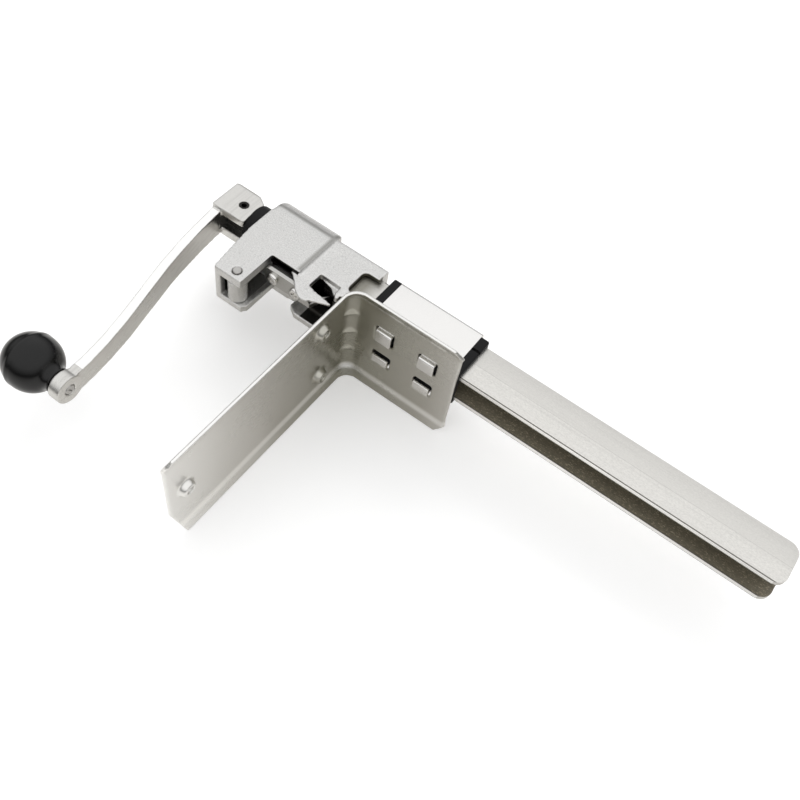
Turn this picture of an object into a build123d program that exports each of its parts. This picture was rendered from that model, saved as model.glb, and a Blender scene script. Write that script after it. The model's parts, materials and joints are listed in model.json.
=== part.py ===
"""Table-mounted commercial can opener with a sliding bar, built as separate pieces.

Frame, in millimetres: the origin is the top edge of the worktop, midway along the bracket's width.
+Z is up along the bar, +X points away from the worktop and -X lies over it. The base plate rests on
Z = 0 and the bracket's leg hangs against X = 0. The feed gear, crank and knob turn about +Z.
"""
import os
from math import cos, pi, sin

from build123d import *

os.makedirs("parts", exist_ok=True)

# ---------------------------------------------------------------- driving dimensions
# pressed bracket
base_width = 102.0        # between the tips of the two lips
base_web = 78.0           # flat width between the lips
sheet = 3.0
lip_drop = 5.0            # how far the lips stand towards the worktop
bend_radius = 10.0        # inside radius of the main bend
plate_end = -189.0
leg_end = -91.0
screw_r = 2.9
screw_near_x = -30.0
screw_near_span = 54.0
screw_far_x = -173.0
dart_leg = 8.6
dart_pitch = 21.3
slot_z = (-27.0, -65.5)
slot_length = 16.0
slots_front = (-20.5, -5.0)
slots_back = (8.5, 22.5)

# sleeve, staked into the bracket
sleeve_x = (8.0, 54.0)
sleeve_half = 18.8
sleeve_wall = 2.5
sleeve_z = (-84.0, -9.0)
tab_length = 14.0
tab_tips = (-6.6, 10.8)   # where the bent tabs end, in Y

# sliding bar, H section
bar_x = (11.0, 46.7)
bar_half = 14.5
flange = 4.2
bar_web = 4.2
bar_foot = -350.0
bar_top = 21.0
cope_z = 19.0             # above this only the web is left
foot_radius = 9.0
slide_gap = 0.35

# cast head
arbor_x = 37.0
front = -21.0             # front face of the thick upper body
back = 19.0
neck_half = 18.5          # half depth of the lower body and neck
head_top = 113.0
arm_end = -29.8
arm_top = 107.0
arm_bottom = 81.7
notch_x = 7.2
step_z = 57.0
under_z = 23.5            # floor of the gear chamber
neck_out = 56.0
neck_end = 6.0
lobe_thick = 2.4          # front wall's swelling beside the knife
boss_r = 30.0
boss_end = 55.5
arm_back = 15.0
channel = (-13.0, 9.0)    # the hollow between the arm's cheeks, in Y
shank_end = -45.0

# shafts and what turns
arbor_r = 8.5
bush_r = 11.5
running = 0.05
gear_r = 15.0
gear_z = (30.5, 42.5)
gear_teeth = 24
roller_at = (-22.0, 91.2)
roller_r = 7.7
roller_pin_r = 3.4

# knife
knife_y = (-15.8, -0.6)
knife_z = (42.0, 81.4)
knife_x = (-1.8, 1.4)
knife_screws_z = (73.0, 50.8)
shim_front = -12.0

# crank and knob
crank_radius = 204.0
hub_x = (22.0, 54.5)
hub_half = 15.0
hub_z = (123.9, 155.4)
slot_half = 7.0
arm_thick = 8.0
pin_z = 135.5
pin_r = 4.0
knob_r = 22.4
boss_base = 116.5
boss_top = 126.5
knob_base = 128.0
knob_top = 174.0
knob_middle = 153.0


def save(part, name):
    """Label a finished piece and write its STEP file."""
    part.label = name
    export_step(part, f"parts/{name}.step")


# ---------------------------------------------------------------- bracket
def bracket_profile(shift):
    """The L-shaped sheet section, moved towards the worktop by shift."""
    inner = sheet + lip_drop
    with BuildLine() as outline:
        Polyline(
            (plate_end, lip_drop + sheet),
            (inner - bend_radius - sheet, lip_drop + sheet),
        )
        RadiusArc(
            (inner - bend_radius - sheet, inner),
            (inner, inner - bend_radius - sheet),
            bend_radius + sheet,
        )
        Polyline(
            (inner, inner - bend_radius - sheet),
            (inner, leg_end),
            (lip_drop, leg_end),
            (lip_drop, lip_drop - bend_radius),
        )
        RadiusArc(
            (lip_drop, lip_drop - bend_radius),
            (lip_drop - bend_radius, lip_drop),
            -bend_radius,
        )
        Polyline(
            (lip_drop - bend_radius, lip_drop),
            (plate_end, lip_drop),
            (plate_end, lip_drop + sheet),
        )
    return outline.line.moved(Location((-shift, -shift, 0)))


def section_at(y, shift):
    """The bracket's section as a sketch standing at the given Y."""
    plane = Plane(origin=(0, y, 0), x_dir=(1, 0, 0), z_dir=(0, -1, 0))
    with BuildSketch(plane) as sketch:
        with BuildLine():
            add(bracket_profile(shift))
        make_face()
    return sketch.sketch


def dart(y, shift):
    """A pressed dart across the bend, long towards the front and steep at its back."""
    corner = lip_drop + shift
    corners = (
        (corner - dart_leg, y + 4, corner),
        (corner, y + 4, corner - dart_leg),
        (corner, y - 12.5, corner),
        (corner, y + 7.5, corner),
    )
    faces = []
    for skip in range(4):
        ring = [corners[i] for i in range(4) if i != skip]
        faces.append(Face(Wire.make_polygon(ring, close=True)))
    return Solid(Shell(faces))


screw_spots = (
    (screw_near_x, screw_near_span / 2),
    (screw_near_x, -screw_near_span / 2),
    (screw_far_x, 0),
)
slot_spots = [(side, z) for side in (-1, 1) for z in slot_z]

with BuildPart() as base_bracket:
    for side in (-1, 1):
        loft([section_at(0, 0), section_at(side * (base_web / 2 - 4), 0)], ruled=True)
        stations = [(base_web / 2 - 4, 0), (base_web / 2 + 0.5, 0.2), (base_web / 2 + 3, 1.0)]
        stations += [(base_web / 2 + 5.5, 2.3), (base_width / 2, lip_drop)]
        loft([section_at(side * y, shift) for y, shift in stations], ruled=True)
    # the plate's far end is trimmed square at the front and drawn in at the back
    with BuildSketch(Plane.XY.offset(-lip_drop)):
        with BuildLine():
            Polyline(
                (plate_end - 20, -base_width),
                (plate_end + 4.5, -base_width),
                (plate_end + 4.5, -base_width / 2 + 1),
                (plate_end + 1.2, -base_width / 2 + 5),
                (plate_end - 3, -base_width / 2 + 18),
                (plate_end - 3, 10),
                (plate_end + 9, base_width / 2 - 1),
                (plate_end + 9, base_width),
                (plate_end - 20, base_width),
                close=True,
            )
        make_face()
    extrude(amount=30, mode=Mode.SUBTRACT)
    # the leg's lower corners are trimmed too
    with BuildSketch(Plane.YZ.offset(-lip_drop)):
        for side in (-1, 1):
            with BuildLine():
                Polyline(
                    (side * (base_width / 2 - 7), leg_end - 9),
                    (side * (base_width / 2 - 7), leg_end - 1),
                    (side * (base_width / 2 + 1), leg_end + 6),
                    (side * (base_width / 2 + 1), leg_end - 9),
                    close=True,
                )
            make_face()
    extrude(amount=30, mode=Mode.SUBTRACT)
    # dimples carry the screw heads down to the worktop
    for x, y in screw_spots:
        with BuildSketch(Plane.XY):
            with Locations((x, y)):
                Circle(5.4)
        extrude(amount=lip_drop, taper=-22)
        with BuildSketch(Plane.XY.offset(lip_drop + sheet)):
            with Locations((x, y)):
                Circle(5.9)
        extrude(amount=-(lip_drop + sheet - 2.5), taper=18, mode=Mode.SUBTRACT)
        with BuildSketch(Plane.XY):
            with Locations((x, y)):
                Circle(screw_r)
        extrude(amount=lip_drop + sheet, mode=Mode.SUBTRACT)
    for y in (-dart_pitch - 3, -3, dart_pitch - 3):
        add(dart(y, 0))
        add(dart(y, 2.5), mode=Mode.SUBTRACT)
    # slots for the sleeve's tabs
    with BuildSketch(Plane.YZ.offset(lip_drop - 1)):
        for side, z in slot_spots:
            span = slots_front if side < 0 else slots_back
            with Locations((sum(span) / 2, z)):
                RectangleRounded(span[1] - span[0], slot_length, 1.0)
    extrude(amount=sheet + 2, mode=Mode.SUBTRACT)
save(base_bracket.part, "base_bracket")


# ---------------------------------------------------------------- sleeve and its guides
with BuildPart() as bar_sleeve:
    with BuildSketch(Plane.XY.offset(sleeve_z[0])):
        with Locations(((sleeve_x[0] + sleeve_x[1]) / 2, 0)):
            Rectangle(sleeve_x[1] - sleeve_x[0], 2 * sleeve_half)
    extrude(amount=sleeve_z[1] - sleeve_z[0])
    outer_edges = bar_sleeve.edges().filter_by(Axis.Z).group_by(Axis.X)[-1]
    fillet(outer_edges, 4)
    with BuildSketch(Plane.XY.offset(sleeve_z[0])):
        with Locations(((sleeve_x[0] - 1 + sleeve_x[1] - sleeve_wall) / 2, 0)):
            Rectangle(
                sleeve_x[1] - sleeve_wall - sleeve_x[0] + 1,
                2 * (sleeve_half - sleeve_wall),
            )
    extrude(amount=sleeve_z[1] - sleeve_z[0], mode=Mode.SUBTRACT)
    # each tab passes through its slot and is folded over inwards
    for side, z in slot_spots:
        outside = side * sleeve_half
        inside = side * (sleeve_half - sleeve_wall)
        folded = tab_tips[0] if side < 0 else tab_tips[1]
        with BuildSketch(Plane.XY.offset(z - tab_length / 2)):
            with BuildLine():
                Polyline(
                    (sleeve_x[0], outside),
                    (sleeve_x[0], inside),
                    (lip_drop, inside),
                    (lip_drop, folded),
                    (lip_drop - sleeve_wall, folded),
                    (lip_drop - sleeve_wall, outside),
                    close=True,
                )
            make_face()
        extrude(amount=tab_length)
    tab_corners = bar_sleeve.edges().filter_by(Axis.Z).group_by(Axis.X)[0]
    fillet(tab_corners.group_by(Axis.Y)[0], 1.8)
    fillet(bar_sleeve.edges().filter_by(Axis.Z).group_by(Axis.X)[0].group_by(Axis.Y)[-1], 1.8)
save(bar_sleeve.part, "bar_sleeve")

bore_x = (bar_x[0] - slide_gap, bar_x[1] + slide_gap)
bore_half = bar_half + slide_gap
guide_x = (sleeve_x[0] + 0.1, sleeve_x[1] - sleeve_wall - 0.1)
guide_half = sleeve_half - sleeve_wall - 0.1
guide_rim = 7.0
guide_depth = 30.0
guide_stop = neck_end - 0.3   # the head comes to rest on the upper guide's collar
split_x = 36.4


def guide(flange_z, body_z, rim_x, rim_half):
    """A nylon guide: a rectangular tube inside the sleeve with a rim outside it."""
    with BuildPart() as piece:
        with BuildSketch(Plane.XY.offset(body_z[0])):
            with Locations(((guide_x[0] + guide_x[1]) / 2, 0)):
                Rectangle(guide_x[1] - guide_x[0], 2 * guide_half)
        extrude(amount=body_z[1] - body_z[0])
        with BuildSketch(Plane.XY.offset(flange_z[0])):
            with Locations(((rim_x[0] + rim_x[1]) / 2, 0)):
                RectangleRounded(rim_x[1] - rim_x[0], 2 * rim_half, 1.5)
        extrude(amount=flange_z[1] - flange_z[0])
        rim_edges = piece.edges().filter_by(Axis.Z, reverse=True)
        chamfer(rim_edges.filter_by_position(Axis.Z, *_end_range(flange_z, body_z)), 0.8)
        with BuildSketch(Plane.XY.offset(min(flange_z[0], body_z[0]) - 1)):
            with Locations(((bore_x[0] + bore_x[1]) / 2, 0)):
                Rectangle(bore_x[1] - bore_x[0], 2 * bore_half)
        extrude(amount=guide_depth + guide_rim + 2, mode=Mode.SUBTRACT)
    return piece


def _end_range(flange_z, body_z):
    """The heights between which the rim's free edges lie."""
    end = flange_z[1] if flange_z[1] > body_z[1] else flange_z[0]
    return end - 0.1, end + 0.1


upper_rim_x = (sleeve_x[0] + 0.3, sleeve_x[1] - 1.0)
lower_rim_x = (sleeve_x[0] + 0.5, sleeve_x[1] - 3.6)
rim_half = sleeve_half - 0.6
upper_guide = guide(
    (sleeve_z[1], sleeve_z[1] + guide_rim),
    (sleeve_z[1] - guide_depth, sleeve_z[1]),
    upper_rim_x,
    rim_half,
)
with BuildPart() as upper_guide_with_stop:
    add(upper_guide.part)
    with BuildSketch(Plane.XY.offset(sleeve_z[1] + guide_rim)):
        with Locations(((bore_x[1] + guide_x[1]) / 2, 0)):
            Rectangle(guide_x[1] - bore_x[1], 18)
    extrude(amount=guide_stop - sleeve_z[1] - guide_rim)
save(upper_guide_with_stop.part, "upper_guide")

lower_guide = guide(
    (sleeve_z[0] - guide_rim, sleeve_z[0]),
    (sleeve_z[0], sleeve_z[0] + guide_depth),
    lower_rim_x,
    rim_half,
)
with BuildPart() as lower_guide_outer:
    add(lower_guide.part)
    split(bisect_by=Plane.YZ.offset(split_x + 1.2), keep=Keep.TOP)
save(lower_guide_outer.part, "lower_guide_outer")
with BuildPart() as lower_guide_inner:
    add(lower_guide.part)
    split(bisect_by=Plane.YZ.offset(split_x - 1.2), keep=Keep.BOTTOM)
save(lower_guide_inner.part, "lower_guide_inner")


# ---------------------------------------------------------------- sliding bar
bar_mid = (bar_x[0] + bar_x[1]) / 2
with BuildPart() as bar:
    for side in (-1, 1):
        # a flange lies in the XZ plane and has rounded corners at the foot
        near = side * (bar_half - flange)
        with BuildSketch(Plane(origin=(0, near, 0), x_dir=(1, 0, 0), z_dir=(0, side, 0))):
            height = cope_z - bar_foot
            mid_z = (cope_z + bar_foot) / 2
            with Locations((bar_mid, -side * mid_z)):
                Rectangle(bar_x[1] - bar_x[0], height)
        extrude(amount=flange)
    foot_edges = bar.edges().filter_by(Axis.Y).group_by(Axis.Z)[0]
    fillet(foot_edges, foot_radius)
    with BuildSketch(Plane.XY.offset(bar_foot)):
        with Locations((bar_mid, 0)):
            Rectangle(bar_web, 2 * (bar_half - flange))
    extrude(amount=bar_top - bar_foot)
    root_edges = (
        bar.edges()
        .filter_by(Axis.Z)
        .filter_by_position(Axis.X, bar_mid - bar_web / 2 - 0.01, bar_mid + bar_web / 2 + 0.01)
        .filter_by_position(Axis.Z, bar_foot, cope_z - 100)
    )
    fillet(root_edges, 2)
    # clearance holes for the rivets that hold the head's shank
    with Locations(
        *[
            Location((bar_mid, 0, z), (0, 90, 0))
            for z in (shank_end + 9, (shank_end + under_z) / 2 - 4, 8)
        ]
    ):
        Hole(radius=2.5, depth=bar_web)
save(bar.part, "bar")


# ---------------------------------------------------------------- cast head
with BuildPart() as head_body:
    # thick upper body with its round nose, seen from above
    with BuildSketch(Plane.XY.offset(boss_end)):
        with Locations(((notch_x + arbor_x + boss_r) / 2, (front + back) / 2)):
            Rectangle(arbor_x + boss_r - notch_x, back - front)
    extrude(amount=head_top + 3 - boss_end)
    nose_edges = head_body.edges().filter_by(Axis.Z).group_by(Axis.X)[-1]
    fillet(nose_edges, 18.5)
    # arm that carries the roller, thinner than the body
    with BuildSketch(Plane.XY.offset(arm_bottom)):
        with Locations(((arm_end + notch_x) / 2 + 3, (front + arm_back) / 2)):
            Rectangle(notch_x - arm_end + 6, arm_back - front)
    extrude(amount=head_top + 3 - arm_bottom)
    # lower body and neck
    with BuildSketch(Plane.XY.offset(neck_end)) as neck_section:
        with Locations(((notch_x + neck_out) / 2, 0)):
            Rectangle(neck_out - notch_x, 2 * neck_half)
        fillet(neck_section.vertices().group_by(Axis.X)[-1], 2.5)
    extrude(amount=step_z - neck_end)
    # the top slopes gently down towards the arm's end, and the underside is relieved
    with BuildSketch(Plane.XZ.offset(-40)):
        with BuildLine():
            Polyline(
                (arm_end - 5, head_top + 10),
                (arm_end - 5, arm_top - 0.6),
                (arm_end, arm_top),
                (0, head_top - 2),
                (20, head_top),
                (arbor_x + boss_r + 5, head_top),
                (arbor_x + boss_r + 5, head_top + 10),
                close=True,
            )
        make_face()
    extrude(amount=80, mode=Mode.SUBTRACT)
    # the nose's lower edge is drawn in
    with BuildSketch(Plane.XZ.offset(-40)):
        with BuildLine():
            Polyline(
                (arbor_x + boss_r + 2, boss_end + 9),
                (arbor_x + boss_r, boss_end + 9),
                (arbor_x + boss_r - 7, boss_end - 1),
                (arbor_x + boss_r + 2, boss_end - 1),
                close=True,
            )
        make_face()
    extrude(amount=80, mode=Mode.SUBTRACT)
    # rear cheek of the arm hangs a little lower than the front one
    with BuildSketch(Plane.XZ.offset(-arm_back)):
        with BuildLine():
            Polyline(
                (arm_end, 90),
                (arm_end, 83.4),
                (arm_end + 4, 79.4),
                (notch_x + 2, 79.4),
                (notch_x + 2, 90),
                close=True,
            )
        make_face()
    extrude(amount=arm_back - channel[1])
    # front wall of the gear housing swells out beside the knife
    with BuildSketch(Plane.XZ.offset(neck_half)):
        with BuildLine():
            Polyline(
                (notch_x + 1, 66),
                (4.4, 59.5),
                (0, 54.5),
                (-6.0, 49.0),
                (-9.6, 43.5),
                (-10.2, 38.5),
                (-9.0, 35.2),
                (-7.0, 34.8),
                (9.5, 39.8),
                (notch_x + 12, 44),
                (notch_x + 12, 66),
                close=True,
            )
        make_face()
    extrude(amount=-lobe_thick)
    # the housing's near corner is rounded over below the notch
    with BuildSketch(Plane.XZ.offset(-40)):
        with BuildLine():
            Polyline(
                (notch_x - 4, 66),
                (notch_x + 0.2, 66),
                (notch_x + 0.9, 61),
                (notch_x + 3.2, 57),
                (notch_x + 3.2, 44),
                (notch_x - 4, 44),
                close=True,
            )
        make_face()
    extrude(amount=40 + neck_half - lobe_thick, mode=Mode.SUBTRACT)
    # the neck is cut back towards the bar below the gear chamber
    with BuildSketch(Plane.XZ.offset(-40)):
        with BuildLine():
            Polyline(
                (notch_x - 3, neck_end - 2),
                (notch_x - 3, under_z - 4),
                (notch_x + 3, under_z - 4),
                (notch_x + 10, neck_end),
                (notch_x + 10, neck_end - 2),
                close=True,
            )
        make_face()
    extrude(amount=80, mode=Mode.SUBTRACT)
    # cheek that guards the gear at the back
    with BuildSketch(Plane.XZ.offset(-neck_half)):
        with BuildLine():
            Polyline(
                (-5, 32),
                (-5, 50),
                (0, 57),
                (notch_x + 6, 57),
                (notch_x + 6, 20),
                (0, 20),
                close=True,
            )
        make_face()
    extrude(amount=6)
    # hollow under the arm, open towards the roller's end and downwards
    with BuildSketch(Plane.XY.offset(arm_bottom - 5)):
        with Locations(((arm_end + notch_x) / 2, sum(channel) / 2)):
            Rectangle(notch_x - arm_end + 2, channel[1] - channel[0])
    extrude(amount=arm_top - 5 - arm_bottom + 5, mode=Mode.SUBTRACT)
    # pocket beside the knife's seat
    with BuildSketch(Plane.YZ.offset(notch_x - 1)):
        with Locations(((front + 2.5 + shim_front) / 2, 71)):
            Rectangle(shim_front - front - 2.5, 20)
    extrude(amount=9, mode=Mode.SUBTRACT)
    # gear chamber, open towards the can
    with BuildSketch(Plane.XY.offset(under_z)):
        with Locations((arbor_x, 0)):
            Circle(gear_r + 0.7)
        with Locations((arbor_x / 2 - 5, 0)):
            Rectangle(arbor_x + 10, 22)
    extrude(amount=gear_z[1] + 0.8 - under_z, mode=Mode.SUBTRACT)
    # window in the front wall of the gear chamber
    with BuildSketch(Plane.XZ.offset(neck_half + 1)):
        with BuildLine():
            Polyline(
                (-7.0, 34.8),
                (-20, under_z - 6),
                (0, under_z - 6),
                (11, under_z + 0.5),
                (18, under_z + 0.5),
                (18.8, 43.4),
                (9.5, 39.6),
                close=True,
            )
        make_face()
    extrude(amount=-5.5, mode=Mode.SUBTRACT)
    with BuildSketch(Plane.XZ.offset(neck_half + 1)):
        with BuildLine():
            Polyline(
                (18.4, 43.3),
                (15.4, 31),
                (9.8, 24.2),
                (0.8, 18.6),
                (2.2, 34.4),
                (4, 43.3),
                close=True,
            )
        make_face()
    extrude(amount=-9, mode=Mode.SUBTRACT)
    # facet below the swelling that steadies the can's wall
    with BuildSketch(Plane.XZ.offset(neck_half - 0.4)):
        with BuildLine():
            Polyline(
                (-8.0, 36.4),
                (2.6, 36.4),
                (2.2, 34.2),
                (0.2, 19.6),
                (-0.9, 19.6),
                (-7.6, 34.8),
                close=True,
            )
        make_face()
    extrude(amount=-(lobe_thick - 0.4))
    # bore for the arbor's bushes
    with BuildSketch(Plane.XY.offset(gear_z[1])):
        with Locations((arbor_x, 0)):
            Circle(bush_r)
    extrude(amount=head_top + 3 - gear_z[1], mode=Mode.SUBTRACT)
    # space inside the neck, and the arch that opens its front wall
    with BuildSketch(Plane.XY.offset(neck_end - 1)):
        with Locations((bar_mid, 0)):
            Rectangle(bar_x[1] - bar_x[0] + 0.8, 2 * bar_half + 0.8)
    extrude(amount=under_z - 4 - neck_end + 1, mode=Mode.SUBTRACT)
    with BuildSketch(Plane.XZ.offset(neck_half + 1)):
        with Locations(((19.5 + 43) / 2, under_z - 4 - 10)):
            RectangleRounded(43 - 19.5, 20, 4.5)
        with Locations(((19.5 + 43) / 2, neck_end)):
            Rectangle(43 - 19.5, 10)
    extrude(amount=-8, mode=Mode.SUBTRACT)
    # shank: one block in each of the bar's two channels
    web_near = bar_mid - bar_web / 2
    web_far = bar_mid + bar_web / 2
    for low, high in ((bar_x[0] + 3, web_near), (web_far, bar_x[1] - 3)):
        with BuildSketch(Plane.XY.offset(shank_end)):
            with Locations(((low + high) / 2, 0)):
                Rectangle(high - low, 2 * (bar_half - flange) - 4.2)
        extrude(amount=under_z - shank_end)
    with BuildSketch(Plane.XY.offset(shank_end)):
        with Locations((bar_mid, 0)):
            Rectangle(bar_web, 2 * (bar_half - flange) + 0.2)
    extrude(amount=bar_top - shank_end, mode=Mode.SUBTRACT)
    pin_heights = (shank_end + 9, (shank_end + under_z) / 2 - 4, 8)
    for z in pin_heights:
        with BuildSketch(Plane.YZ.offset(bar_x[0])):
            with Locations((0, z)):
                Circle(2.5)
        extrude(amount=bar_x[1] - bar_x[0], mode=Mode.SUBTRACT)
    # cross bore for the roller's pin
    with BuildSketch(Plane.XZ.offset(-40)):
        with Locations(roller_at):
            Circle(roller_pin_r)
    extrude(amount=80, mode=Mode.SUBTRACT)
    with BuildSketch(Plane.XZ.offset(-front)):
        with Locations((roller_at[0] - 0.5, roller_at[1] - 0.3)):
            Circle(roller_pin_r + 1.0)
    extrude(amount=-1.0, mode=Mode.SUBTRACT)
    # threaded holes for the knife's screws
    for z in knife_screws_z:
        with BuildSketch(Plane.YZ.offset(notch_x - 2)):
            with Locations((sum(knife_y) / 2, z)):
                Circle(2.5)
        extrude(amount=12, mode=Mode.SUBTRACT)
save(head_body.part, "head_body")

for number, z in enumerate(pin_heights, 1):
    with BuildPart() as shank_rivet:
        with BuildSketch(Plane.YZ.offset(bar_x[0] + 3)):
            with Locations((0, z)):
                Circle(2.5)
        extrude(amount=bar_x[1] - bar_x[0] - 6)
    save(shank_rivet.part, f"shank_rivet_{number}")


# ---------------------------------------------------------------- roller
with BuildPart() as guide_roller:
    with BuildSketch(Plane.XZ.offset(-channel[1] + 0.5)):
        with Locations(roller_at):
            Circle(roller_r)
            Circle(roller_pin_r + running, mode=Mode.SUBTRACT)
    extrude(amount=channel[1] - channel[0] - 1)
    rims = guide_roller.edges().filter_by(GeomType.CIRCLE).filter_by(
        lambda edge: edge.radius > roller_r - 0.1
    )
    fillet(rims, 0.8)
save(guide_roller.part, "guide_roller")

with BuildPart() as roller_pin:
    with BuildSketch(Plane.XZ.offset(-arm_back)):
        with Locations(roller_at):
            Circle(roller_pin_r)
    extrude(amount=arm_back - front + 0.4)
    chamfer(roller_pin.edges().filter_by(GeomType.CIRCLE), 0.5)
save(roller_pin.part, "roller_pin")


# ---------------------------------------------------------------- knife
knife_mid = sum(knife_y) / 2


def knife_layer(near, far, low, high, rounded, side=knife_y[0]):
    """A flat plate standing on the knife's seat, holed for both screws."""
    with BuildPart() as layer:
        with BuildSketch(Plane.YZ.offset(near)):
            with Locations(((side + knife_y[1]) / 2, (low + high) / 2)):
                Rectangle(knife_y[1] - side, high - low)
        extrude(amount=far - near)
        corners = layer.edges().filter_by(Axis.X).group_by(Axis.Z)[-1]
        fillet(corners, rounded)
        with BuildSketch(Plane.YZ.offset(near)):
            for z in knife_screws_z:
                with Locations((knife_mid, z)):
                    Circle(2.5)
        extrude(amount=far - near, mode=Mode.SUBTRACT)
    return layer


knife = knife_layer(knife_x[0], knife_x[1], 38, knife_z[1], 4)
with BuildPart() as knife_with_edge:
    add(knife.part)
    # the blade turns in towards the gear and comes to a point
    with BuildSketch(Plane.XZ.offset(-knife_y[1])):
        with BuildLine():
            Polyline(
                (knife_x[0], 44),
                (knife_x[0], 38),
                (15.5, 31),
                (knife_x[1] + 1.2, 42),
                (knife_x[1], 44),
                close=True,
            )
        make_face()
    extrude(amount=4)
    with BuildSketch(Plane.YZ.offset(knife_x[0] - 1)):
        with BuildLine():
            Polyline(
                (knife_y[0] - 1, 44),
                (knife_y[0] - 1, 36),
                (knife_y[1] - 4, 36),
                (knife_y[1] - 4, 38),
                close=True,
            )
        make_face()
    extrude(amount=6, mode=Mode.SUBTRACT)
save(knife_with_edge.part, "knife")
shims = ((1.4, 3.4, 80.6), (3.4, 5.4, 81.4), (5.4, notch_x, 80.6))
for number, (near, far, top) in enumerate(shims, 1):
    shim = knife_layer(near, far, 46, top, 3, shim_front)
    save(shim.part, f"knife_shim_{number}")

for number, z in enumerate(knife_screws_z, 1):
    with BuildPart() as knife_screw:
        with BuildSketch(Plane.YZ.offset(knife_x[0] - 3)):
            with Locations((knife_mid, z)):
                Circle(5.2)
        extrude(amount=3)
        dome = knife_screw.edges().filter_by(GeomType.CIRCLE).group_by(Axis.X)[0]
        fillet(dome, 2)
        with BuildSketch(Plane.YZ.offset(knife_x[0])):
            with Locations((knife_mid, z)):
                Circle(2.45)
        extrude(amount=17)
        with BuildSketch(Plane.YZ.offset(knife_x[0] - 3)):
            with Locations((knife_mid, z)):
                Rectangle(1.4, 6)
                Rectangle(6, 1.4)
        extrude(amount=1.8, mode=Mode.SUBTRACT)
    save(knife_screw.part, f"knife_screw_{number}")


# ---------------------------------------------------------------- arbor and gear
def ring(inner, outer, low, high, edge=0.0):
    """A plain ring about the arbor's axis."""
    with BuildPart() as piece:
        with BuildSketch(Plane.XY.offset(low)):
            with Locations((arbor_x, 0)):
                Circle(outer)
                Circle(inner, mode=Mode.SUBTRACT)
        extrude(amount=high - low)
        if edge:
            outline = piece.edges().filter_by(GeomType.CIRCLE).filter_by(
                lambda curve: curve.radius > outer - 0.01
            )
            fillet(outline, edge)
    return piece.part


save(ring(arbor_r + running, bush_r, gear_z[1] + 1.2, gear_z[1] + 15), "lower_bush")
save(ring(arbor_r + running, bush_r, head_top - 15, head_top), "upper_bush")
save(ring(arbor_r, 17.6, head_top + 0.35, hub_z[0], 1.0), "thrust_collar")

with BuildPart() as arbor:
    with BuildSketch(Plane.XY.offset(gear_z[0] + 0.6)):
        with Locations((arbor_x, 0)):
            Circle(arbor_r)
    extrude(amount=hub_z[0] - gear_z[0] - 0.6)
    # flattened tongue inside the crank's hub
    with BuildSketch(Plane.XY.offset(hub_z[0])):
        with Locations((arbor_x, 0)):
            Rectangle(15, 2 * slot_half - 0.1)
    extrude(amount=hub_z[1] - 9 - hub_z[0])
    with BuildSketch(Plane.XZ.offset(-slot_half)):
        with Locations((arbor_x, pin_z)):
            Circle(pin_r)
    extrude(amount=2 * slot_half, mode=Mode.SUBTRACT)
    with BuildSketch(Plane.XY.offset(gear_z[0] + 0.6)):
        with Locations((arbor_x, 0)):
            Circle(2.5)
    extrude(amount=18, mode=Mode.SUBTRACT)
save(arbor.part, "arbor")

with BuildPart() as feed_gear:
    with BuildSketch(Plane.XY.offset(gear_z[0])):
        with Locations((arbor_x, 0)):
            Circle(gear_r)
            Circle(arbor_r, mode=Mode.SUBTRACT)
        for tooth in range(gear_teeth):
            angle = 2 * pi * tooth / gear_teeth
            x = arbor_x + (gear_r + 0.2) * cos(angle)
            y = (gear_r + 0.2) * sin(angle)
            with Locations(Location((x, y), (0, 0, 360 * tooth / gear_teeth + 45))):
                Rectangle(1.9, 1.9, mode=Mode.SUBTRACT)
    extrude(amount=gear_z[1] - gear_z[0])
save(feed_gear.part, "feed_gear")

save(ring(2.5, 10.5, gear_z[0] - 2.2, gear_z[0]), "gear_washer")
with BuildPart() as gear_screw:
    with BuildSketch(Plane.XY.offset(gear_z[0] - 5.6)):
        with Locations((arbor_x, 0)):
            RegularPolygon(6, 6)
    extrude(amount=3.4)
    with BuildSketch(Plane.XY.offset(gear_z[0] - 2.2)):
        with Locations((arbor_x, 0)):
            Circle(2.45)
    extrude(amount=18)
save(gear_screw.part, "gear_screw")


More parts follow.
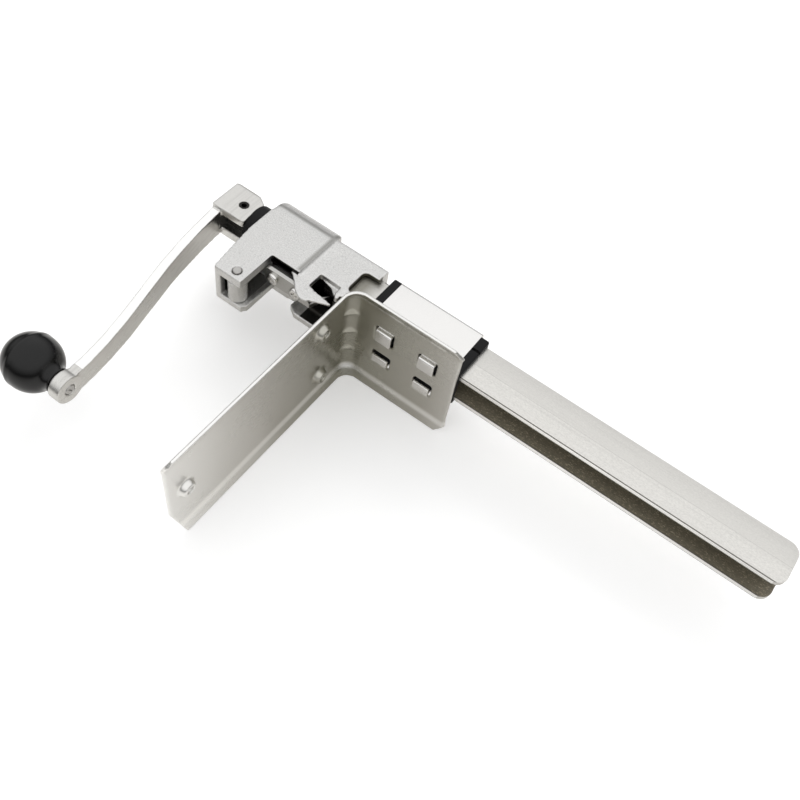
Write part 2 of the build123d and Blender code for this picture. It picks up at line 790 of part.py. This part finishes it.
# ---------------------------------------------------------------- crank and knob
knob_x = arbor_x - crank_radius
underside = (
    (hub_x[1] - 6, hub_z[1] - arm_thick - 0.5),
    (hub_x[0], 146.6),
    (-5, 144.0),
    (-25, 141.2),
    (-46, 137.6),
    (-75, 131),
    (-103, 124.4),
    (-125, 120.4),
    (-145, 118),
    (knob_x + 8, 117.2),
    (knob_x - 4, 117.2),
)
with BuildPart() as crank_arm:
    with BuildSketch(Plane.XZ.offset(-12)):
        with BuildLine():
            top_line = [(x, z + arm_thick) for x, z in reversed(underside)]
            Polyline(*underside, *top_line, close=True)
        make_face()
    extrude(amount=24)
    # the bar narrows towards the knob
    with BuildSketch(Plane.XY.offset(90)):
        for side in (-1, 1):
            with BuildLine():
                Polyline(
                    (knob_x - 20, side * 8.7),
                    (hub_x[0], side * 12),
                    (hub_x[0], side * 14),
                    (knob_x - 20, side * 14),
                    close=True,
                )
            make_face()
    extrude(amount=80, mode=Mode.SUBTRACT)
    # boss under the knob
    with BuildSketch(Plane.XY.offset(boss_base)):
        with Locations((knob_x, 0)):
            Circle(11.7)
    extrude(amount=boss_top - boss_base)
    # hub with two cheeks around the arbor's tongue
    with BuildSketch(Plane.XZ.offset(-hub_half)):
        with BuildLine():
            Polyline(
                (hub_x[0], hub_z[0] + 1.5),
                (hub_x[0] + 1.5, hub_z[0]),
                (hub_x[1] - 6.5, hub_z[0]),
                (hub_x[1] - 1.6, hub_z[0] + 7.5),
                (hub_x[1], hub_z[0] + 14),
                (hub_x[1], hub_z[1] - 2.5),
                (hub_x[1] - 2.5, hub_z[1]),
                (hub_x[0], hub_z[1]),
                close=True,
            )
        make_face()
    extrude(amount=2 * hub_half)
    hub_edges = crank_arm.edges().filter_by(Axis.Z).filter_by_position(
        Axis.X, hub_x[1] - 0.1, hub_x[1] + 0.1
    )
    fillet(hub_edges, 4)
    with BuildSketch(Plane.XY.offset(hub_z[0])):
        with Locations(((hub_x[0] + hub_x[1] - 7) / 2 - 2, 0)):
            Rectangle(hub_x[1] - hub_x[0] - 3, 2 * slot_half)
    extrude(amount=hub_z[1] - arm_thick - hub_z[0], mode=Mode.SUBTRACT)
    with BuildSketch(Plane.XZ.offset(-20)):
        with Locations((arbor_x, pin_z)):
            Circle(pin_r)
    extrude(amount=40, mode=Mode.SUBTRACT)
    with BuildSketch(Plane.XY.offset(100)):
        with Locations((knob_x, 0)):
            Circle(4.5)
    extrude(amount=30, mode=Mode.SUBTRACT)
save(crank_arm.part, "crank_arm")

with BuildPart() as crank_pin:
    with BuildSketch(Plane.XZ.offset(-hub_half + 0.8)):
        with Locations((arbor_x, pin_z)):
            Circle(pin_r)
            Circle(2.2, mode=Mode.SUBTRACT)
    extrude(amount=2 * hub_half - 1.6)
save(crank_pin.part, "crank_pin")

with BuildPart() as knob_stud:
    with BuildSketch(Plane.XY.offset(boss_base + 0.2)):
        with Locations((knob_x, 0)):
            Circle(4.5)
    extrude(amount=knob_top - 12 - boss_base - 0.2)
    chamfer(knob_stud.edges().filter_by(GeomType.CIRCLE).group_by(Axis.Z)[0], 1.1)
    with BuildSketch(Plane.XY.offset(knob_top - 12)):
        with Locations((knob_x, 0)):
            Circle(7)
    extrude(amount=2.5)
    with BuildSketch(Plane.XY.offset(boss_base)):
        with Locations((knob_x, 0)):
            Rectangle(4.6, 1.2, rotation=60)
    extrude(amount=1.2, mode=Mode.SUBTRACT)
save(knob_stud.part, "knob_stud")

with BuildPart() as knob_washer:
    with BuildSketch(Plane.XY.offset(boss_top)):
        with Locations((knob_x, 0)):
            Circle(9)
            Circle(4.5, mode=Mode.SUBTRACT)
    extrude(amount=1.2)
save(knob_washer.part, "knob_washer")

ball = [
    (knob_r * cos(pi * k / 180), knob_middle + knob_r * sin(pi * k / 180))
    for k in range(-48, 67, 6)
]
knob_outline = (
    (4.55, knob_base),
    (10.2, knob_base),
    (9.8, knob_base + 3),
    (10.4, knob_base + 5.2),
    (12.2, knob_base + 6.8),
    *ball,
    (7.6, knob_top),
    (7.6, knob_top - 12.5),
    (4.55, knob_top - 12.5),
)
with BuildPart() as knob:
    with BuildSketch(Plane.XZ):
        with BuildLine():
            Polyline(*[(knob_x + r, z) for r, z in knob_outline], close=True)
        make_face()
    revolve(axis=Axis((knob_x, 0, 0), (0, 0, 1)))
save(knob.part, "knob")
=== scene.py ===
"""Finishes, softened skins, light and camera for the table-mounted can opener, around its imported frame."""
import json
import math

import bmesh
import bpy
from mathutils import Matrix, Vector


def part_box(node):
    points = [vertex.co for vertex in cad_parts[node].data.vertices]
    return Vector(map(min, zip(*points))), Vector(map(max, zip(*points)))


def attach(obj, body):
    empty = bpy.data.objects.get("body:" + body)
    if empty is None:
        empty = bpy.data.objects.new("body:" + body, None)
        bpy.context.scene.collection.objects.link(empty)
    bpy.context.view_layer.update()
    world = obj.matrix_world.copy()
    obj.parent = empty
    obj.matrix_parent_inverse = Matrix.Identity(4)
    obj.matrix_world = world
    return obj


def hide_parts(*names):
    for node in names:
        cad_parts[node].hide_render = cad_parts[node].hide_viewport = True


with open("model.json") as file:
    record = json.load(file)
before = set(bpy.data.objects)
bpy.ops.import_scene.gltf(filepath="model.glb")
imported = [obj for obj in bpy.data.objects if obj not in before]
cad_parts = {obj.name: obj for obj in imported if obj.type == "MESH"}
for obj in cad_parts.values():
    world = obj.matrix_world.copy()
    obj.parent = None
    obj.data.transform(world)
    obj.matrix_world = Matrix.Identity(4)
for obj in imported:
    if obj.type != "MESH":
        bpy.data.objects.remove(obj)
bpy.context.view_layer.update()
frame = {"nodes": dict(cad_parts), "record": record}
nodes = frame["nodes"]
MM = 0.001


# ---------------------------------------------------------------- shader maths
class Value:
    """A shader socket that takes part in sums, products and comparisons."""

    def __init__(self, graph, socket):
        self.graph = graph
        self.socket = socket

    def math(self, operation, *others):
        return self.graph.math(operation, self, *others)

    def __add__(self, other):
        return self.math("ADD", other)

    def __radd__(self, other):
        return self.graph.math("ADD", other, self)

    def __sub__(self, other):
        return self.math("SUBTRACT", other)

    def __rsub__(self, other):
        return self.graph.math("SUBTRACT", other, self)

    def __mul__(self, other):
        return self.math("MULTIPLY", other)

    def __rmul__(self, other):
        return self.graph.math("MULTIPLY", other, self)

    def __truediv__(self, other):
        return self.math("DIVIDE", other)

    def __gt__(self, other):
        return self.math("GREATER_THAN", other)

    def __lt__(self, other):
        return self.math("LESS_THAN", other)


class Graph:
    """A shader node tree whose sockets are handled as values."""

    def __init__(self, tree):
        self.tree = tree

    def node(self, kind, settings, inputs):
        """Add a node, apply its settings, feed its sockets, and hand back its outputs by name."""
        made = self.tree.nodes.new(kind)
        for key, value in settings.items():
            if key == "stops":
                ramp = made.color_ramp
                ramp.elements[0].position, ramp.elements[1].position = value[0][0], value[-1][0]
                for position, _ in value[1:-1]:
                    ramp.elements.new(position)
                for element, (_, tint) in zip(ramp.elements, value):
                    element.color = (*tint, 1.0) if isinstance(tint, tuple) else (tint,) * 3 + (1.0,)
            else:
                setattr(made, key, value)
        for key, value in inputs.items():
            socket = made.inputs[key]
            if isinstance(value, Value):
                self.tree.links.new(value.socket, socket)
            else:
                socket.default_value = value
        return {out.name: Value(self, out) for out in made.outputs if out.enabled}

    def math(self, operation, *values):
        return self.node(
            "ShaderNodeMath", {"operation": operation}, dict(enumerate(values))
        )["Value"]

    def place(self, stretch=(1, 1, 1)):
        """Object coordinates, stretched along each axis."""
        spot = self.node("ShaderNodeTexCoord", {}, {})["Object"]
        return self.node("ShaderNodeMapping", {}, {"Vector": spot, "Scale": stretch})["Vector"]

    def axes(self):
        """The three Object coordinates in millimetres."""
        spot = self.node("ShaderNodeTexCoord", {}, {})["Object"]
        parts = self.node("ShaderNodeSeparateXYZ", {}, {"Vector": spot})
        return [parts[axis] * (1 / MM) for axis in "XYZ"]

    def noise(self, scale, detail=3.0, stretch=(1, 1, 1), roughness=0.5):
        return self.node(
            "ShaderNodeTexNoise",
            {},
            {"Vector": self.place(stretch), "Scale": scale, "Detail": detail, "Roughness": roughness},
        )["Factor" if bpy.app.version >= (5, 0, 0) else "Fac"]

    def ramp(self, value, stops):
        return self.node("ShaderNodeValToRGB", {"stops": stops}, {"Fac": value})["Color"]

    def blend(self, factor, first, second):
        """Mix two colours."""
        outs = self.node("ShaderNodeMix", {"data_type": "RGBA"}, {"Factor": factor})
        mixer = outs["Result"].socket.node
        for name, value in (("A", first), ("B", second)):
            socket = next(s for s in mixer.inputs if s.name == name and s.enabled)
            if isinstance(value, Value):
                self.tree.links.new(value.socket, socket)
            else:
                socket.default_value = tuple(value) + (1.0,)
        return Value(self, next(s for s in mixer.outputs if s.enabled))

    def spread(self, value, low, high):
        """Stretch a narrow band of values over 0 to 1."""
        return self.node(
            "ShaderNodeMapRange", {"clamp": True}, {"Value": value, "From Min": low, "From Max": high}
        )["Result"]


class Finish(Graph):
    """One material under construction, with its Principled shader."""

    def __init__(self, name, color, roughness, metallic=1.0, **fixed):
        self.material = bpy.data.materials.new(name)
        self.material.use_nodes = True
        super().__init__(self.material.node_tree)
        self.shader = self.tree.nodes["Principled BSDF"]
        self.shader.inputs["Base Color"].default_value = tuple(color) + (1.0,)
        self.shader.inputs["Roughness"].default_value = roughness
        self.shader.inputs["Metallic"].default_value = metallic
        for key, value in fixed.items():
            self.shader.inputs[key.replace("_", " ").title()].default_value = value

    def feed(self, name, value):
        self.tree.links.new(value.socket, self.shader.inputs[name])

    def bump(self, height, strength, distance):
        normal = self.node(
            "ShaderNodeBump",
            {},
            {"Height": height, "Strength": strength, "Distance": distance},
        )["Normal"]
        self.feed("Normal", normal)


def shade(color, factor):
    return tuple(min(1.0, part * factor) for part in color)


def within(finish, spot, low, high, soft=0.6):
    """How far inside a box of millimetres a point lies, from 0 outside to 1 inside."""
    inside = None
    for value, least, most in zip(spot, low, high):
        part = finish.spread(value, least - soft, least) * finish.spread(value, most + soft, most)
        inside = part if inside is None else inside * part
    return inside


def cast_finish(name, color, roughness, recesses=()):
    """Blasted and plated casting: fine grain, clouds and pits, with painted shade laid into the recesses it
    is given.
    """
    finish = Finish(name, color, roughness)
    clouds = finish.noise(38.0, 4.0)
    grain = finish.noise(1150.0, 4.0, roughness=0.75)
    speck = finish.noise(520.0, 2.0, roughness=0.6)
    mixed = finish.blend(clouds, shade(color, 0.92), shade(color, 1.06))
    mixed = finish.blend(finish.spread(grain, 0.36, 0.64), shade(color, 0.74), mixed)
    mixed = finish.blend(finish.spread(speck, 0.62, 0.72) * 0.4, mixed, shade(color, 0.5))
    spot = finish.axes()
    # painted shade: each box darkens the casting's colour where shade falls in a recess
    for low, high, tint, soft in recesses:
        mixed = finish.blend(within(finish, spot, low, high, soft), mixed, tint)
    finish.feed("Base Color", mixed)
    finish.feed("Roughness", roughness - 0.06 + clouds * 0.12)
    finish.bump(grain + speck * 0.7, 0.8, 0.0004)
    return finish.material


def sheet_finish(name, color, roughness, stretch=(1, 1, 1), smear=0.12, edge=None):
    """Plated sheet: smooth, with faint rolling lines, slow smears and a little dust."""
    finish = Finish(name, color, roughness)
    lines = finish.noise(260.0, 3.0, stretch, roughness=0.65)
    smears = finish.noise(16.0, 3.0)
    dust = finish.noise(900.0, 2.0)
    mixed = finish.blend(smears, shade(color, 1.0 - smear), shade(color, 1.0 + smear * 0.5))
    mixed = finish.blend(lines * 0.35, mixed, shade(color, 0.84))
    mixed = finish.blend(finish.spread(dust, 0.35, 0.65) * 0.12, mixed, shade(color, 0.7))
    if edge:
        mixed = edge(finish, mixed)
    finish.feed("Base Color", mixed)
    finish.feed("Roughness", roughness - 0.04 + smears * 0.08 + lines * 0.04)
    waves = finish.noise(14.0, 1.0)
    finish.bump(lines + dust * 0.5 + waves * 9.0, 0.16, 0.0003)
    return finish.material


def bar_finish(name):
    """Rolled and plated section: pale outside, with painted shade, dull and brownish, inside its channels.
    """
    color = (0.80, 0.785, 0.75)
    # painted shade: the dull brownish colour inside the channels
    inside = (0.235, 0.208, 0.150)
    finish = Finish(name, color, 0.34)
    x, y, z = finish.axes()
    grain = finish.noise(1500.0, 3.0, (1, 1, 0.4), roughness=0.7)
    clouds = finish.noise(22.0, 3.0, (1, 1, 0.4))
    streaks = finish.noise(420.0, 4.0, (1, 1, 0.02), roughness=0.7)
    outer = finish.blend(clouds, shade(color, 0.95), shade(color, 1.04))
    outer = finish.blend(finish.spread(grain, 0.34, 0.66), shade(color, 0.82), outer)
    outer = finish.blend(finish.spread(streaks, 0.48, 0.72) * 0.35, outer, shade(color, 0.70))
    # the face is a little duller beyond its middle seam, away from the channel's mouth
    outer = finish.blend(finish.spread(x, 27.5, 29.0) * 0.45, outer, shade(color, 0.82))
    seam = (x > 28.0) * (x < 28.5)
    outer = finish.blend(seam * 0.35, outer, shade(color, 0.5))
    # painted shade inside the channels, with pale specks from the grain
    channel_shade = finish.blend(clouds, shade(inside, 0.85), shade(inside, 1.15))
    channel_shade = finish.blend(finish.spread(grain, 0.3, 0.7), shade(inside, 0.55), channel_shade)
    channel_shade = finish.blend((grain > 0.62) * 0.6, channel_shade, shade(inside, 2.6))
    depth = y.math("ABSOLUTE")
    between = (depth < 10.6) * (x > 11.5) * (x < 46.2)
    # cut edges of the flanges: painted highlight, with painted shade lines along both borders
    rim_highlight = (x < 11.25) * (depth > 10.0)
    outer = finish.blend(rim_highlight, outer, (0.97, 0.96, 0.94))
    border_shade = ((depth < 10.95) * (depth > 9.8) + (depth > 14.18)) * (x < 11.75)
    outer = finish.blend(border_shade * 0.85, outer, (0.05, 0.045, 0.035))
    # painted shade on the face towards the neck, where the neck and its arch overhang it
    neck_shade = finish.spread(z, 1.0, 12.0) * (x < 44.0)
    outer = finish.blend(neck_shade * 0.72, outer, (0.17, 0.16, 0.12))
    finish.feed("Base Color", finish.blend(between, outer, channel_shade))
    finish.feed("Metallic", 1.0 - between * 0.9)
    finish.feed("Roughness", 0.28 + clouds * 0.08 + grain * 0.06 + between * 0.2)
    finish.bump(grain + streaks * 0.4, 0.45, 0.0004)
    return finish.material


def steel_finish(name, color, roughness):
    """Plain machined steel with turning marks too fine to see one by one."""
    finish = Finish(name, color, roughness)
    marks = finish.noise(500.0, 3.0, (1, 1, 4))
    mixed = finish.blend(marks, shade(color, 0.80), shade(color, 1.12))
    finish.feed("Base Color", mixed)
    finish.feed("Roughness", roughness - 0.05 + marks * 0.1)
    finish.bump(marks, 0.2, 0.0003)
    return finish.material


def moulded_finish(name, color, roughness, grain_strength, specular):
    """Black plastic with a faint moulded grain."""
    finish = Finish(name, color, roughness, metallic=0.0)
    finish.shader.inputs["Specular IOR Level"].default_value = specular
    grain = finish.noise(800.0, 2.0)
    wear = finish.noise(60.0, 3.0)
    mixed = finish.blend(wear, shade(color, 0.8), shade(color, 1.5))
    finish.feed("Base Color", mixed)
    finish.feed("Roughness", roughness - 0.04 + wear * 0.08)
    finish.bump(grain, grain_strength, 0.0003)
    return finish.material


def crank_edge(finish, plain):
    """The arm's two cut edges carry a painted highlight, brighter than its flats, outside the hub."""
    x, y, _ = finish.axes()
    depth = y.math("ABSOLUTE") + (x + 20.0) * -0.0195
    # painted highlight on the arm's cut edges
    edge_highlight = (depth > 11.0) * (x < 20.0) * (x > -153.0)
    lines = finish.noise(500.0, 3.0, (0.04, 1, 1))
    drawn = finish.blend(finish.spread(lines, 0.5, 0.72) * 0.3, plain, (0.42, 0.41, 0.39))
    return finish.blend(edge_highlight, drawn, (0.97, 0.965, 0.95))


def bracket_light_and_shade(finish, plain):
    """Painted shade in the bend and painted light far from it; painted highlights along the lips' press
    lines and outer edges.
    """
    x, y, z = finish.axes()
    far = (x * x + z * z).math("SQRT")
    # painted shade in the bend
    plain = finish.blend(1.0 - finish.spread(far, 8.0, 95.0), plain, (0.43, 0.42, 0.365))
    # painted light far from the bend
    plain = finish.blend(finish.spread(far, 70.0, 188.0) * 0.7, plain, (0.93, 0.925, 0.91))
    depth = y.math("ABSOLUTE")
    crease_highlight = finish.spread(depth, 39.0, 41.5) * finish.spread(depth, 45.0, 43.0)
    # painted highlight along the lips' press lines
    plain = finish.blend(crease_highlight * 0.75, plain, (0.97, 0.96, 0.93))
    # painted highlight along the lips' outer edges
    return finish.blend((depth > 50.3) * 0.8, plain, (0.97, 0.965, 0.95))


# painted shade in the gear chamber, the knife's pocket, the hollow under the arm, and the neck's inside
shadowed = (
    ((-4, -13.6, 20.0), (54, 12.5, 44.5), (0.035, 0.034, 0.03), 0.5),
    ((6.0, -20.2, 56.0), (24, 9, 81.9), (0.020, 0.019, 0.018), 0.4),
    ((-24, -12.8, 84.0), (6.9, 8.8, 103.5), (0.10, 0.098, 0.092), 0.4),
    ((10, -17.9, 5.0), (47.3, 17.0, 24.5), (0.13, 0.125, 0.10), 0.5),
    # painted shade in the soft step below the boss and along its front corner
    ((10, -26, 56.6), (58, -17.6, 57.4), (0.36, 0.355, 0.34), 2.6),
    ((52.0, -22, 58.0), (53.0, -14, 112), (0.40, 0.395, 0.38), 2.4),
)
casting = cast_finish("plated_casting", (0.83, 0.825, 0.81), 0.31, shadowed)
bracket_sheet = sheet_finish("bracket_sheet", (0.66, 0.645, 0.605), 0.26, (1, 6, 1), 0.12, bracket_light_and_shade)
sleeve_sheet = sheet_finish("sleeve_sheet", (0.89, 0.88, 0.865), 0.24, (1, 1, 6), 0.03)
section = bar_finish("plated_section")
crank_plate = sheet_finish("crank_plate", (0.70, 0.69, 0.665), 0.26, (1, 7, 7), 0.06, crank_edge)
steel = steel_finish("plain_steel", (0.50, 0.49, 0.475), 0.34)
ground = steel_finish("ground_steel", (0.54, 0.535, 0.515), 0.30)
roller_plate = cast_finish("roller_plate", (0.76, 0.755, 0.74), 0.22)
bright = steel_finish("bright_plate", (0.84, 0.83, 0.81), 0.16)
# painted shade: this steel is made near-black so the arbor, crank pin and feed gear read dark where they sit
# in shade
near_black_shade = steel_finish("blackened_steel", (0.035, 0.034, 0.032), 0.45)
bronze = steel_finish("bronze", (0.45, 0.31, 0.16), 0.42)
nylon = moulded_finish("black_nylon", (0.008, 0.008, 0.0085), 0.50, 0.15, 0.14)
gloss = moulded_finish("black_knob", (0.004, 0.004, 0.004), 0.16, 0.01, 0.34)

node_finish = {
    "base_bracket": bracket_sheet,
    "bar_sleeve": sleeve_sheet,
    "bar": section,
    "head_body": casting,
    "guide_roller": roller_plate,
    "crank_arm": crank_plate,
    "knife": ground,
    "knife_shim_2": ground,
    "knob": gloss,
    "thrust_collar": nylon,
    "upper_guide": nylon,
    "lower_guide_outer": nylon,
    "lower_guide_inner": nylon,
    "arbor": near_black_shade,
    "crank_pin": near_black_shade,
    "feed_gear": near_black_shade,
    "upper_bush": bronze,
    "lower_bush": bronze,
    "knife_screw_1": bright,
    "knife_screw_2": bright,
    "roller_pin": steel,
}


def paint(obj, material):
    """Give every face of a piece one material."""
    obj.data.materials.clear()
    obj.data.materials.append(material)


body_of = {
    node: body
    for body, members in frame["record"]["behaviour"]["bodies"].items()
    for node in members
}
for name, obj in nodes.items():
    paint(obj, node_finish.get(name, steel))


# ---------------------------------------------------------------- softened copies of the solids
def stand_in(name, mesh, material=None, node=None):
    """A new object from a mesh, riding with and standing for a CAD node."""
    node = node or name
    obj = bpy.data.objects.new(name, mesh)
    bpy.context.scene.collection.objects.link(obj)
    paint(obj, material or node_finish.get(node, steel))
    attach(obj, body_of[node])
    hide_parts(node)
    return obj


def merged_copy(node, name):
    """A copy of a CAD node's mesh with its doubles merged and flat faces dissolved."""
    mesh = bpy.data.meshes.new(name)
    bm = bmesh.new()
    bm.from_mesh(nodes[node].data)
    bmesh.ops.remove_doubles(bm, verts=bm.verts, dist=2e-6)
    bmesh.ops.dissolve_limit(
        bm, angle_limit=math.radians(0.5), verts=bm.verts, edges=bm.edges,
        use_dissolve_boundaries=False, delimit=set(),
    )
    bm.to_mesh(mesh)
    bm.free()
    return mesh


def bake_modifiers(obj):
    """Turn an object's modifiers into its mesh."""
    depsgraph = bpy.context.evaluated_depsgraph_get()
    shaped = bpy.data.meshes.new_from_object(obj.evaluated_get(depsgraph))
    obj.modifiers.clear()
    obj.data = shaped
    for polygon in shaped.polygons:
        polygon.use_smooth = True


def cast_skin(node, voxel, rounds, name, softer=()):
    """A casting's skin: the solid remeshed evenly, every edge worn round and some corners far more."""
    obj = stand_in(name, merged_copy(node, name), node=node)
    remesh = obj.modifiers.new("even", "REMESH")
    remesh.mode = "VOXEL"
    remesh.voxel_size = voxel
    smooth = obj.modifiers.new("worn", "SMOOTH")
    smooth.factor = 0.5
    smooth.iterations = rounds
    bake_modifiers(obj)
    for low, high, more in softer:
        bm = bmesh.new()
        bm.from_mesh(obj.data)
        near = [v for v in bm.verts if all(a * MM <= c <= b * MM for a, c, b in zip(low, v.co, high))]
        for _ in range(more):
            bmesh.ops.smooth_vert(
                bm, verts=near, factor=0.5, use_axis_x=True, use_axis_y=True, use_axis_z=True
            )
        bm.to_mesh(obj.data)
        bm.free()


def bevelled(node, width, segments, name):
    """A pressed or machined piece with its edges broken."""
    obj = stand_in(name, merged_copy(node, name), node=node)
    bevel = obj.modifiers.new("edges", "BEVEL")
    bevel.width = width
    bevel.segments = segments
    bevel.limit_method = "ANGLE"
    bevel.angle_limit = math.radians(30)
    bake_modifiers(obj)


cast_skin("base_bracket", 0.95 * MM, 4, "bracket_plate")
bevelled("bar_sleeve", 0.5 * MM, 3, "sleeve_skin")
bevelled("bar", 0.55 * MM, 3, "section_skin")
softened = (
    ((8.5, -25, 50), (70, -17.2, 63), 20),   # where the boss steps down to the neck
    ((44, -25, 60), (75, -8, 116), 30),      # the boss's front corner
)
cast_skin("head_body", 0.75 * MM, 3, "head_casting", softened)
hub_corners = (
    ((20, -16, 122), (32, -5, 150), 14),     # the front cheek's thick lower end
    ((20, -16, 122), (56, -5, 131), 6),
)
cast_skin("crank_arm", 0.7 * MM, 5, "crank", hub_corners)


# ---------------------------------------------------------------- knob
def spun(profile, middle, axis, steps=72):
    """A closed ring of profile points (radius, height) spun about an axis through middle."""
    bm = bmesh.new()
    axis = Vector(axis).normalized()
    side = axis.orthogonal().normalized()
    middle = Vector(middle)
    verts = [bm.verts.new(middle + side * radius + axis * height) for radius, height in profile]
    edges = [bm.edges.new((a, b)) for a, b in zip(verts, verts[1:])]
    bmesh.ops.spin(
        bm, geom=verts + edges, cent=middle, axis=axis, angle=2 * math.pi,
        steps=steps, use_merge=True, use_duplicate=False,
    )
    bmesh.ops.remove_doubles(bm, verts=bm.verts, dist=1e-6)
    bmesh.ops.recalc_face_normals(bm, faces=bm.faces)
    return bm


def finish_mesh(bm, name, smooth=True):
    mesh = bpy.data.meshes.new(name)
    for face in bm.faces:
        face.smooth = smooth
    bm.to_mesh(mesh)
    bm.free()
    return mesh


knob_low, knob_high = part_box("knob")
knob_x = (knob_low[0] + knob_high[0]) / 2
knob_base = knob_low[2]
ball_radius = 22.0
ball_middle = 25.0
bead = 0.4
steps = [(4.6, 0), (9.6, 0), (10.2, 0.4), (9.8, 1.6), (9.7, 3.0), (10.2, 4.9), (11.6, 6.5), (13.3, 7.6)]
for degrees in range(-48, 67, 4):
    angle = math.radians(degrees)
    # the parting bead stands a little proud just above the ball's widest line
    radius = ball_radius + (bead if degrees in (8, 12) else 0.0)
    steps.append((radius * math.cos(angle), ball_middle + radius * math.sin(angle)))
steps += [(8.3, 45.7), (7.7, 45.5), (7.6, 44.8), (7.6, 33.5), (4.6, 33.5), (4.6, 0)]
outline = [(radius * MM, knob_base + height * MM) for radius, height in steps]
knob_mesh = finish_mesh(spun(outline, (knob_x, 0, 0), (0, 0, 1)), "knob_ball")
stand_in("knob_ball", knob_mesh, gloss, "knob")


# ---------------------------------------------------------------- stage, light, camera
def look_matrix(place, right, down, forward):
    """A camera or light matrix from its place and the directions it faces."""
    columns = (Vector(right), -Vector(down), -Vector(forward))
    matrix = Matrix.Identity(4)
    for index, column in enumerate(columns):
        for row in range(3):
            matrix[row][index] = column[row]
        matrix[index][3] = place[index]
    return matrix


camera_data = bpy.data.cameras.new("camera")
camera_data.lens = 42.53
camera_data.sensor_width = 36.0
camera_data.clip_start = 0.01
camera = bpy.data.objects.new("camera", camera_data)
bpy.context.scene.collection.objects.link(camera)
camera.matrix_world = look_matrix(
    (-0.37273, -0.56596, -0.22918),
    (0.57859686, -0.12143496, -0.80652292),
    (-0.63745117, 0.54954839, -0.54004867),
    (0.50880416, 0.82658945, 0.24055812),
)
bpy.context.scene.camera = camera

# the opener lies on its back on a pale floor, propped on the bracket's lip and the bar's foot
floor_normal = Vector((0.0, -1.0, 0.0))
floor_point = Vector((0.0, 0.0515, 0.0))
floor_half_width = 4.0
bm = bmesh.new()
turn = floor_normal.to_track_quat("Z", "X").to_matrix().to_4x4()
floor_place = Matrix.Translation(floor_point) @ turn
bmesh.ops.create_grid(bm, x_segments=1, y_segments=1, size=floor_half_width, matrix=floor_place)
floor_mesh = finish_mesh(bm, "floor", smooth=False)
floor = bpy.data.objects.new("floor", floor_mesh)
bpy.context.scene.collection.objects.link(floor)
floor_paint = Finish("floor", (0.85, 0.85, 0.85), 0.9, metallic=0.0, emission_strength=0.24)
floor_paint.shader.inputs["Emission Color"].default_value = (1.0, 1.0, 1.0, 1.0)
clear = floor_paint.node("ShaderNodeBsdfTransparent", {}, {})["BSDF"]
behind = floor_paint.node("ShaderNodeNewGeometry", {}, {})["Backfacing"]
path = floor_paint.node("ShaderNodeLightPath", {}, {})
# mirrored in the metal, the floor fades from pale beside the opener to dark far away
spot = floor_paint.node("ShaderNodeTexCoord", {}, {})["Object"]
reach = floor_paint.node("ShaderNodeVectorMath", {"operation": "LENGTH"}, {0: spot})["Value"]
cloud = floor_paint.noise(5.0, 2.0)
mirrored_tones = [
    (0.0, (0.80, 0.785, 0.755)),
    (0.10, (0.72, 0.70, 0.67)),
    (0.24, (0.99, 0.98, 0.96)),
    (0.5, (0.62, 0.61, 0.59)),
    (1.0, (0.12, 0.12, 0.12)),
]
fade = floor_paint.ramp(reach + (cloud - 0.5) * 0.3, mirrored_tones)
dim = floor_paint.node("ShaderNodeBsdfDiffuse", {}, {"Color": fade})["BSDF"]
seen = Value(floor_paint, floor_paint.shader.outputs[0])
mixed = floor_paint.node("ShaderNodeMixShader", {}, {0: path["Is Glossy Ray"], 1: seen, 2: dim})["Shader"]
mixed = floor_paint.node("ShaderNodeMixShader", {}, {0: behind, 1: mixed, 2: clear})
output = next(n for n in floor_paint.tree.nodes if n.type == "OUTPUT_MATERIAL")
floor_paint.tree.links.new(mixed["Shader"].socket, output.inputs["Surface"])
paint(floor, floor_paint.material)

world = bpy.data.worlds.new("studio")
bpy.context.scene.world = world
world.use_nodes = True
sky = Graph(world.node_tree)
direction = sky.node("ShaderNodeTexCoord", {}, {})["Generated"]
parts = sky.node("ShaderNodeSeparateXYZ", {}, {"Vector": direction})
height = 0.5 - parts["Y"] * 0.5
sky_tones = [
    (0.0, 0.80), (0.40, 0.60), (0.49, 0.10), (0.53, 0.10),
    (0.60, 0.42), (0.74, 0.92), (0.86, 1.0), (1.0, 1.0),
]
glow = sky.ramp(height, sky_tones)
direct = sky.node("ShaderNodeLightPath", {}, {})["Is Camera Ray"]
tent = sky.blend(direct, glow, (1.0, 1.0, 1.0))
sky.tree.links.new(tent.socket, sky.tree.nodes["Background"].inputs["Color"])
sky.tree.nodes["Background"].inputs["Strength"].default_value = 1.08


def soft_light(name, place, target, size, power):
    data = bpy.data.lights.new(name, "AREA")
    data.shape = "SQUARE"
    data.size = size
    data.energy = power
    light = bpy.data.objects.new(name, data)
    bpy.context.scene.collection.objects.link(light)
    light.location = place
    light.rotation_euler = (Vector(target) - Vector(place)).to_track_quat("-Z", "Y").to_euler()
    return light


# the key only softly shadows the floor; the metals mirror the tent alone
key = soft_light("key", (1.15, -0.95, 0.50), (0, 0, -0.08), size=1.1, power=9.0)
key.visible_glossy = False
bpy.context.scene.view_settings.view_transform = "Standard"
